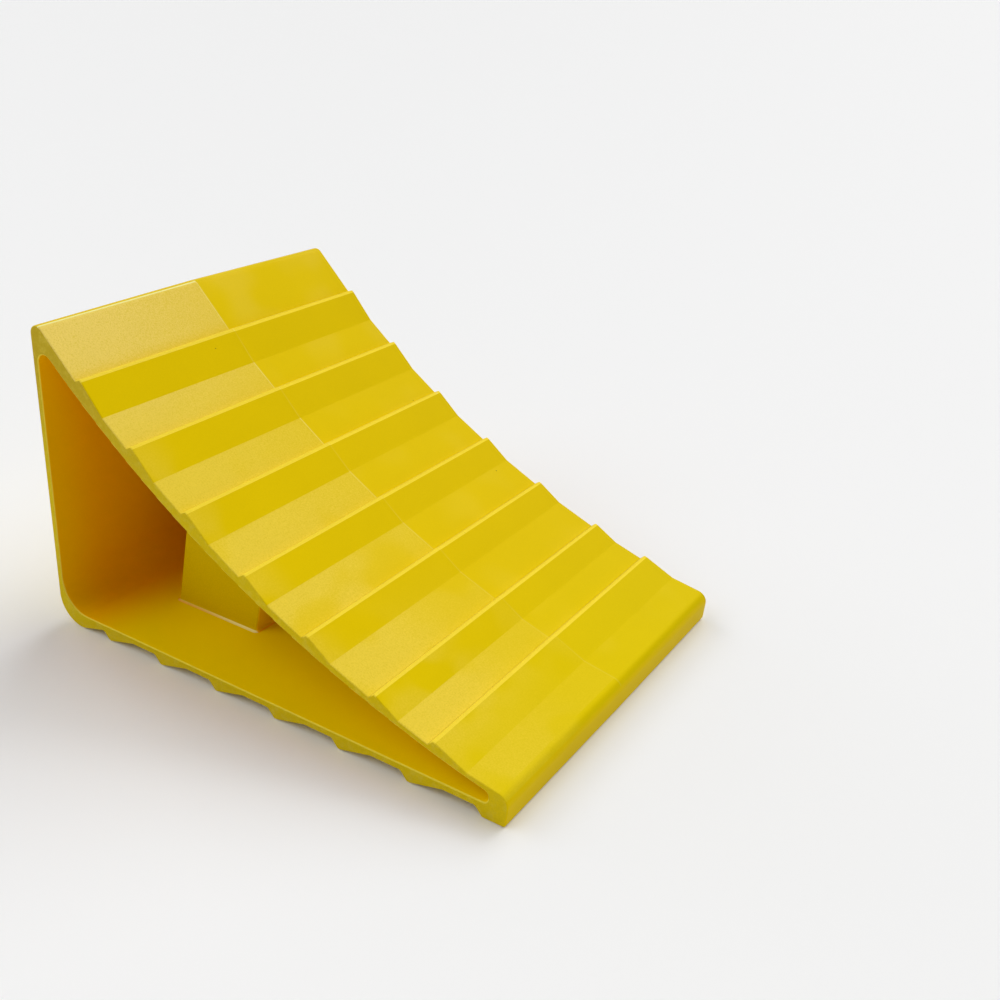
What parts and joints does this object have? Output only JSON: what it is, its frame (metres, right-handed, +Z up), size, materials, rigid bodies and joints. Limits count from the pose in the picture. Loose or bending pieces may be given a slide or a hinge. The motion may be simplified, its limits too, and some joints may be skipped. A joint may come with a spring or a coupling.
{
  "type": "wheel chock",
  "caption": "Wedge-shaped moulded wheel chock with a curved, stepped ramp, a toothed sole, open sides with a zigzag web between, and a pull lug on its heel.",
  "frame": {"origin": "on the ground, under the centre of the bounding box", "axes": "+X from the heel wall to the toe, +Y across the width, +Z up"},
  "size_m": [0.2198, 0.145, 0.1239],
  "materials": {
    "shell_plastic": "fine moulded grain",
    "web_plastic": "smooth satin"
  },
  "bodies": {
    "root": {"heel_corner": "shell_plastic", "heel_wall": "shell_plastic", "crest": "shell_plastic", "ramp_plate": "shell_plastic", "sole_plate": "shell_plastic", "toe_nose": "shell_plastic", "pull_lug": "shell_plastic", "heel_web_panel": "web_plastic", "heel_cross_rib": "web_plastic", "near_web_panel": "web_plastic", "middle_cross_rib": "web_plastic", "far_web_panel": "web_plastic", "toe_cross_rib": "web_plastic", "toe_web_panel": "web_plastic", "boss_ring": "web_plastic", "face_bosses": "web_plastic"}
  },
  "joints": []
}
